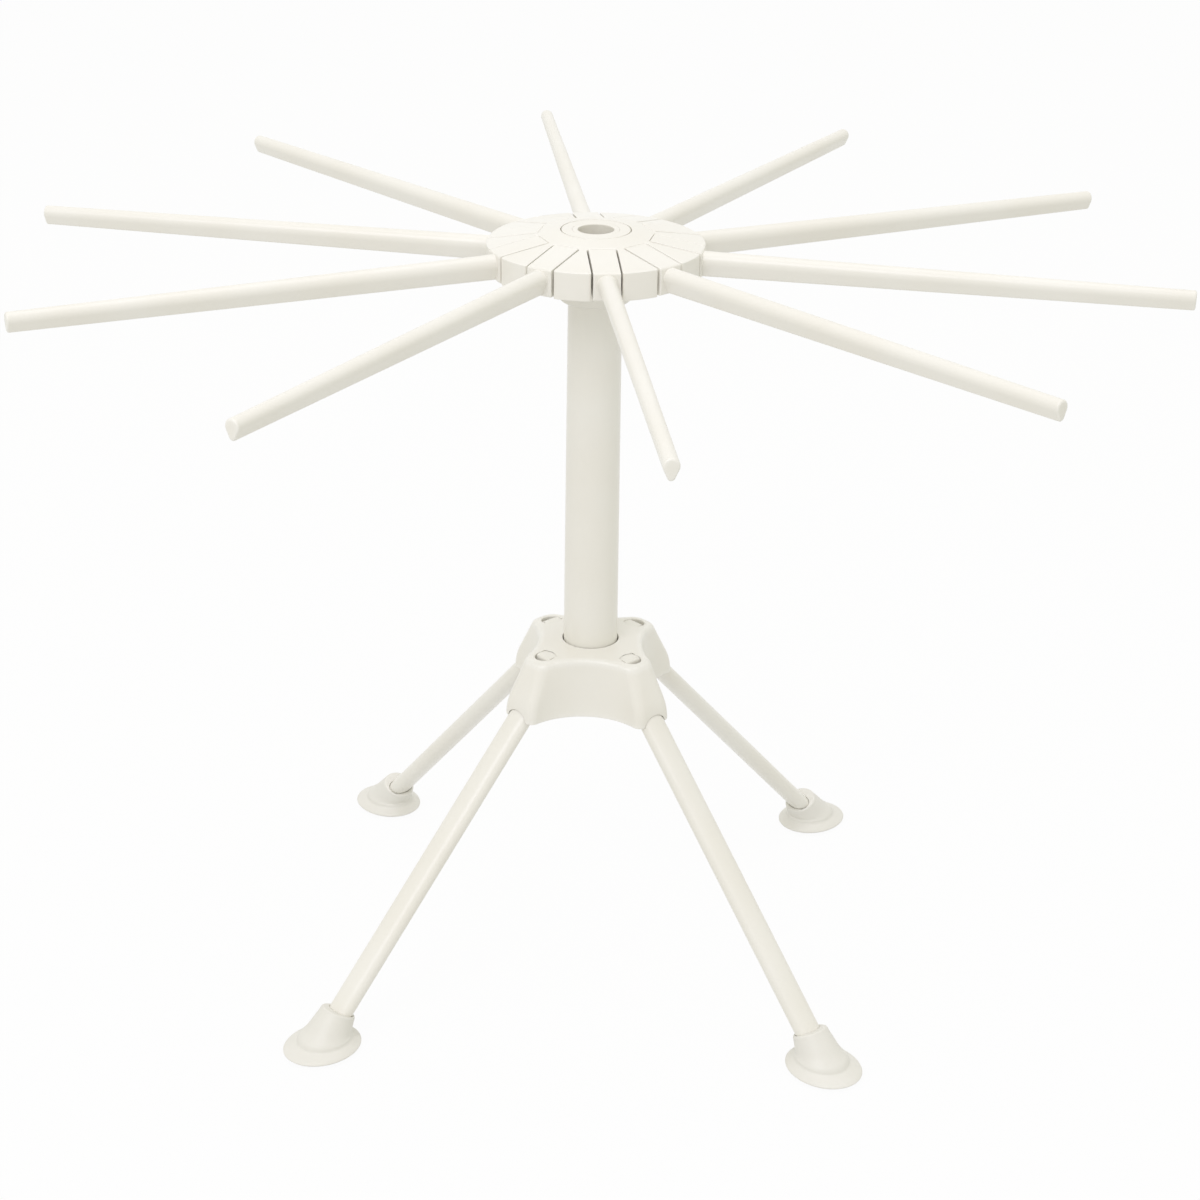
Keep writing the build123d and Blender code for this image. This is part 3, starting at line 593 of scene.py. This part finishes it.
wall_wear, lip_wear = [0, 0.1, 0.2, 0.1, 0, 0.1, 0.4, 0.8, 0.6, 0.2], [0.1, 0.4, 0.5, 0.4, 0.1] + [0] * 7
hub_grids, hub_wear = [], []
for azimuth in first_arm + arm_pitch * np.arange(10):
    for mirror in (1, -1):
        for patch, wear in zip(hub_halves, (wall_wear, np.zeros(11), np.zeros(7))):
            hub_grids.append(turn(patch * [1, mirror, 1], azimuth))
            hub_wear.append(wear)
    hub_grids.append(turn(hub_middle, azimuth))
    hub_wear.append(lip_wear)
piece("hub_disc", hub_grids, "hub", ["hub"], ivory_abs, edges=hub_wear)

# RETAINING RING
# The ring that is pressed on the post's end over the hub, so that the hub turns but doesn't lift off.
# The same glossy ABS, its outer edge rounded by a little more than the hub's.
ring_bottom, ring_inner, ring_outer = 286.7, 8.52, 12.38
ring_corners = [(ring_inner, ring_bottom), (ring_outer, ring_bottom), (ring_outer, hub_top), (ring_inner, hub_top)]
ring_rounding = (0.1, 0.1, 0.22, 0.12)
ring_line = rounded_line(ring_corners, ring_rounding, runs=2)
piece("retaining_ring_body", [turned(ring_line)], "stand", ["retaining_ring"], ivory_abs)

# ARMS
# Ten arms, each moulded as one: a square root block whose knuckle swings in its slot, and a rod that tapers to its tip,
# with a wide round crown for the pasta to hang on and a narrow keel. Two trunnions hold it in the hub.
arm_pivot = np.array([25.6, 280.5])
arm_heel, arm_face, arm_underside, arm_width, arm_knuckle, arm_edge = 20.3, 39.1, 275.2, 9.6, 5.3, 0.35
block_rounding, block_middle = (arm_knuckle, 0.8, 0.8, 0.5), (29.5, 281.3)
rod_root = dict(x=33.2, width=6.5, height=9.2, middle=279.95)
rod_tip = dict(x=210.0, width=5.1, height=7.0, middle=279.9)
rod_keel_share, rod_end_round, root_flare, root_flare_run = 0.24, 0.7, 0.10, 8
arm_trunnion_radius, arm_trunnion_half = 1.5, 5.35


def rod_section(x, width, height, middle):
    """A wide circle's arc on top and a narrow circle's arc below, joined by the two straight lines that touch both."""
    crown, keel = width / 2, width * rod_keel_share
    high, low = middle + height / 2 - crown, middle - height / 2 + keel
    lean = asin((crown - keel) / (high - low))
    over, under = np.linspace(-lean, pi + lean, 33), np.linspace(pi + lean, 2 * pi - lean, 15)
    y = np.concatenate([crown * np.cos(over), keel * np.cos(under), [crown * cos(lean)]])
    z = np.concatenate([high + crown * np.sin(over), low + keel * np.sin(under), [high - crown * sin(lean)]])
    return np.stack([np.full(len(y), x), y, z], -1)


def arm_patches():
    """The block: its side outline, smaller by a quarter circle towards each flat side. The rod: the root's section moved in
    straight lines to the tip's, wider just outside the block, its end a quarter circle. The trunnions: one round bar."""
    tops = [dome(np.array([x, 0.0])) for x in (arm_heel, arm_face)]
    corners = [(arm_heel, arm_underside), (arm_face, arm_underside), (arm_face, tops[1]), (arm_heel, tops[0])]
    t = np.radians([90, 67.5, 45, 22.5, 0])
    across = arm_width / 2 - arm_edge * (1 - np.sin(t))
    rows = []
    for inset, y in zip(arm_edge * (1 - np.cos(t)), across):
        line = rounded_line(corners, block_rounding, inset, steps=9, runs=6)
        rows.append(np.stack([line[:, 0], np.full(len(line), y), line[:, 1]], -1))
    side = np.broadcast_to([block_middle[0], arm_width / 2, block_middle[1]], rows[0].shape)
    half = np.array([side, side + 0.5 * (rows[0] - side), *rows])
    block = np.concatenate([half, (half * [1, -1, 1])[::-1]])
    first, last = rod_section(**rod_root), rod_section(**rod_tip)
    span = last[0, 0] - rod_end_round - first[0, 0]
    face = arm_face - first[0, 0]
    x = np.concatenate([[0, face], face + np.linspace(0.5, root_flare_run, 8), np.linspace(20, span, 24)])
    rod = first + (x / (last[0, 0] - first[0, 0]))[:, None, None] * (last - first)
    rod[..., 1] *= 1 + root_flare * np.clip(1 - (x[:, None] - face) / root_flare_run, 0, 1) ** 2
    t = np.radians([22, 45, 67, 90])[:, None, None]
    middle = np.array([last[0, 0] - rod_end_round, 0, rod_tip["middle"]])
    small = 1 - rod_end_round * (1 - np.cos(t)) / (rod_tip["width"] / 2)
    end = middle + (rod[-1] - middle) * small + np.array([1, 0, 0]) * rod_end_round * np.sin(t)
    cap = np.broadcast_to(middle + [rod_end_round, 0, 0], rod[0].shape)
    start = np.broadcast_to(rod[0].mean(0), rod[0].shape)
    rod = np.concatenate([[start], rod, end, [cap + 0.5 * (end[-1] - cap)], [cap]])
    a, y = np.linspace(0, 2 * pi, 33), np.array([1, 1, -1, -1])[:, None] * arm_trunnion_half
    r = np.array([0, 1, 1, 0])[:, None] * arm_trunnion_radius
    trunnions = np.stack([arm_pivot[0] + r * np.cos(a), np.broadcast_to(y, (4, 33)), arm_pivot[1] + r * np.sin(a)], -1)
    wear = [0, 0, 0, 0.2, 0.7, 0.5, 0.1]
    return (block, rod, trunnions), (wear + wear[::-1], [0] * (1 + len(x)) + [0.3, 0.6, 0.6, 0.3, 0, 0], [0] * 4)


arm_grids, arm_wear = arm_patches()
for number in range(10):
    name = f"arm_{number + 1:02d}"
    grids = [turn(patch, first_arm + arm_pitch * number) for patch in arm_grids]
    piece(f"rod_{name}", grids, name, [name], ivory_abs, edges=arm_wear)

# KEEPER PLATE AND SCREWS
# The plate under the hub that closes the arms' bearings, and the screws of the hub and of the post.
# The plate is the same ABS. The screws are bought in: steel, cold headed and zinc plated.
def plated_steel(name, colour, stained_colour):
    """Zinc on steel: a metal whose roughness and colour change slowly in patches, with the fine marks left by heading."""
    material = bpy.data.materials.new(name)
    material.use_nodes = True
    tree = material.node_tree
    tree.nodes.clear()
    place = node(tree, "ShaderNodeTexCoord").outputs["Object"]
    patch = node(tree, "ShaderNodeTexNoise", {"Vector": place, "Scale": 1 / (1.6 * MM), "Detail": 3.0})
    colours = node(tree, "ShaderNodeMix", {
        0: patch.outputs["Fac"], 6: linear(colour), 7: linear(stained_colour)}, data_type="RGBA")
    sheen = node(tree, "ShaderNodeMapRange", {"Value": patch.outputs["Fac"], "To Min": 0.24, "To Max": 0.42})
    marks = node(tree, "ShaderNodeTexNoise", {"Vector": place, "Scale": 1 / (0.25 * MM), "Detail": 1.0})
    relief = node(tree, "ShaderNodeBump", {"Height": marks.outputs["Fac"], "Distance": 0.01 * MM, "Strength": 1.0})
    surface = node(tree, "ShaderNodeBsdfPrincipled", {
        "Base Color": colours.outputs[2], "Roughness": sheen.outputs[0], "Normal": relief.outputs[0], "Metallic": 1.0})
    node(tree, "ShaderNodeOutputMaterial", {"Surface": surface.outputs[0]})
    return material


# Cold-headed screws, zinc plated and clear passivated: bright grey with a faint warm stain.
zinc_steel = plated_steel("zinc_plated_steel_cold_headed", "#C9CBCC", "#B5B3AC")
for name, material in (("keeper_plate", ivory_abs), ("keeper_screws", zinc_steel), ("post_screw", zinc_steel)):
    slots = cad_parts[name].data.materials
    slots.clear()
    slots.append(material)

# FLOOR AND LIGHT
# A white seamless floor that runs out of the picture, a soft lamp high in front on the left and a broader one overhead.
# The camera sees the floor near white, while the floor's own diffuse part keeps the rack's shadow.
def seen_straight(tree):
    """1 for rays from the camera or from a glossy surface, else 0."""
    ray = node(tree, "ShaderNodeLightPath")
    straight = node(tree, "ShaderNodeMath", {
        0: ray.outputs["Is Camera Ray"], 1: ray.outputs["Is Glossy Ray"]}, operation="MAXIMUM")
    return straight.outputs[0]


def matte_white(name, seen):
    """Matte white paper: its own diffuse light, mixed with plain white by a share for what the camera and mirrors see."""
    material = bpy.data.materials.new(name)
    material.use_nodes = True
    tree = material.node_tree
    tree.nodes.clear()
    share = node(tree, "ShaderNodeMath", {0: seen_straight(tree), 1: seen}, operation="MULTIPLY")
    paper = node(tree, "ShaderNodeBsdfDiffuse", {"Color": linear("#E7E7E7")})
    white = node(tree, "ShaderNodeEmission", {"Color": (1, 1, 1, 1), "Strength": 1.0})
    mixed = node(tree, "ShaderNodeMixShader", {0: share.outputs[0], 1: paper.outputs[0], 2: white.outputs[0]})
    node(tree, "ShaderNodeOutputMaterial", {"Surface": mixed.outputs[0]})
    return material


floor_half = 6
floor_mesh = bpy.data.meshes.new("floor")
floor_mesh.from_pydata([
    (x * floor_half, y * floor_half, 0) for x, y in ((-1, -1), (1, -1), (1, 1), (-1, 1))], [], [(0, 1, 2, 3)])
floor_mesh.materials.append(matte_white("matte_white_paper", 0.95))
floor = bpy.data.objects.new("floor", floor_mesh)
bpy.context.scene.collection.objects.link(floor)

world = bpy.data.worlds.new("studio")
world.use_nodes = True
tree = world.node_tree
tree.nodes.clear()
room = node(tree, "ShaderNodeBackground", {"Color": linear("#FFFFF4"), "Strength": 0.735})
seen = node(tree, "ShaderNodeBackground", {"Color": (1, 1, 1, 1), "Strength": 1.0})
mixed = node(tree, "ShaderNodeMixShader", {0: seen_straight(tree), 1: room.outputs[0], 2: seen.outputs[0]})
node(tree, "ShaderNodeOutputWorld", {"Surface": mixed.outputs[0]})
bpy.context.scene.world = world


def lamp(name, place, target, size, power, colour):
    """A square soft lamp that faces its target."""
    light = bpy.data.lights.new(name, "AREA")
    light.shape, light.size, light.energy, light.color = "SQUARE", size, power, linear(colour)[:3]
    made = bpy.data.objects.new(name, light)
    made.location = place
    made.rotation_euler = (Vector(target) - Vector(place)).to_track_quat("-Z", "Y").to_euler()
    bpy.context.scene.collection.objects.link(made)


rack_middle = (0, 0, 0.15)
lamp("high_left", (-0.5, -1.15, 1.45), rack_middle, size=0.9, power=8.5, colour="#F3F0FF")
lamp("overhead", (0.15, 0.1, 1.8), rack_middle, size=1.3, power=6.0, colour="#F3F0FF")

# CAMERA
# The photograph's viewpoint: 0.84 m in front of the rack and 0.53 m above the table, looking down by 24.5 degrees.
view_place = np.array([43.563, -843.639, 529.513]) * MM
yaw, pitch, roll = radians(-2.72358), radians(24.49584), radians(0.876714)
focal_pixels, picture_pixels, sensor = 2438.467, 1200, 36.0
ahead = Vector((sin(yaw) * cos(pitch), cos(yaw) * cos(pitch), -sin(pitch)))
level_right = Vector((cos(yaw), -sin(yaw), 0))
level_up = level_right.cross(ahead)
right = cos(roll) * level_right + sin(roll) * level_up
up = cos(roll) * level_up - sin(roll) * level_right
camera = bpy.data.objects.new("camera", bpy.data.cameras.new("camera"))
camera.data.sensor_width, camera.data.lens = sensor, focal_pixels / picture_pixels * sensor
camera.matrix_world = Matrix.Translation(view_place) @ Matrix((right, up, -ahead)).transposed().to_4x4()
bpy.context.scene.collection.objects.link(camera)
bpy.context.scene.camera = camera
bpy.context.scene.view_settings.view_transform = "Standard"
